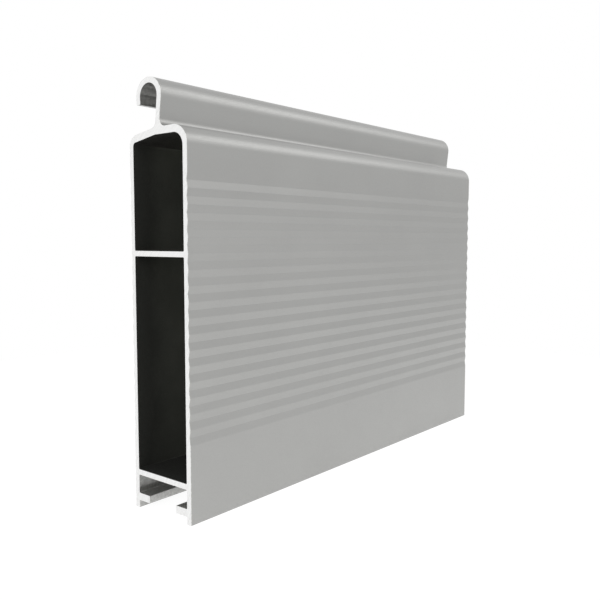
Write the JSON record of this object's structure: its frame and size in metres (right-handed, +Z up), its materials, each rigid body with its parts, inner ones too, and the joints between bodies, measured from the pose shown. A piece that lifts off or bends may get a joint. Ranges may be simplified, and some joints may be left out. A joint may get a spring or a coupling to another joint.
{
  "type": "roller shutter bottom slat",
  "caption": "Hollow extruded slat that closes the foot of a roller shutter, with a hook along its top edge, grooved faces, inner webs and a seal channel between its legs.",
  "frame": {"origin": "middle of the footprint of the two legs, at the level they stand on", "axes": "+X along the slat's length, +Y from the front face to the rear face, +Z up from the legs to the hook"},
  "size_m": [0.15, 0.022, 0.113],
  "materials": {
    "grey_coating": "smooth satin light grey coating on extruded aluminium, with bare bright saw-cut ends"
  },
  "bodies": {
    "root": {"slat_profile": "grey_coating"}
  },
  "joints": []
}
